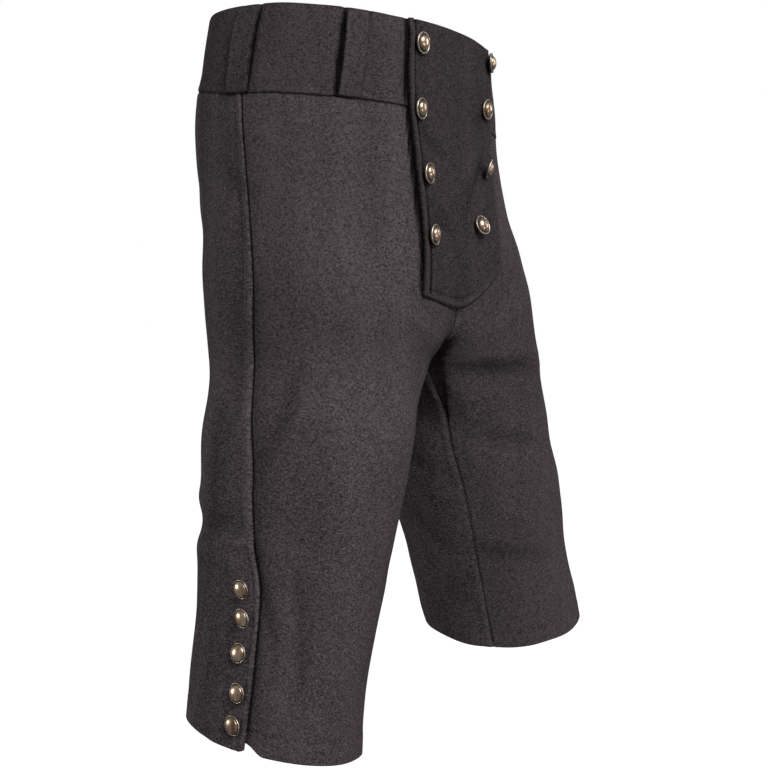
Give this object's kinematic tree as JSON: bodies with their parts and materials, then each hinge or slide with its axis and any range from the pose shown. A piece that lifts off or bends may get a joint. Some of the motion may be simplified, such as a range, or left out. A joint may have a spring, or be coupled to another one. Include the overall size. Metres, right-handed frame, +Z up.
{
  "type": "fall-front knee breeches",
  "caption": "Dark canvas knee breeches with a buttoned front fall, a wide waistband with belt loops and buttoned vents at the knees, filled out as worn.",
  "frame": {"origin": "middle of the waist opening, level with the top of the waistband at the sides, where the wearer's waist holds it", "axes": "+Z up, the garment faces -Y, the wearer's left is +X"},
  "size_m": [0.4842, 0.2648, 0.6106],
  "materials": {
    "canvas": "matt charcoal canvas twill",
    "band_canvas": "matt charcoal canvas twill",
    "antique_brass": "antiqued, domed, rims polished by wear"
  },
  "bodies": {
    "root": {"front_right": "canvas", "front_left": "canvas", "back_right": "canvas", "back_left": "canvas", "fall": "canvas", "waistband_right": "band_canvas", "waistband_left": "band_canvas", "belt_loop_side_right": "band_canvas", "belt_loop_front_right": "band_canvas", "belt_loop_side_left": "band_canvas", "belt_loop_front_left": "band_canvas", "belt_loop_back": "band_canvas", "fall_button_right_1": "antique_brass", "fall_button_right_2": "antique_brass", "fall_button_right_3": "antique_brass", "fall_button_right_4": "antique_brass", "fall_button_left_1": "antique_brass", "fall_button_left_2": "antique_brass", "fall_button_left_3": "antique_brass", "fall_button_left_4": "antique_brass", "vent_button_right_1": "antique_brass", "vent_button_right_2": "antique_brass", "vent_button_right_3": "antique_brass", "vent_button_right_4": "antique_brass", "vent_button_right_5": "antique_brass", "vent_button_left_1": "antique_brass", "vent_button_left_2": "antique_brass", "vent_button_left_3": "antique_brass", "vent_button_left_4": "antique_brass", "vent_button_left_5": "antique_brass"}
  },
  "joints": []
}
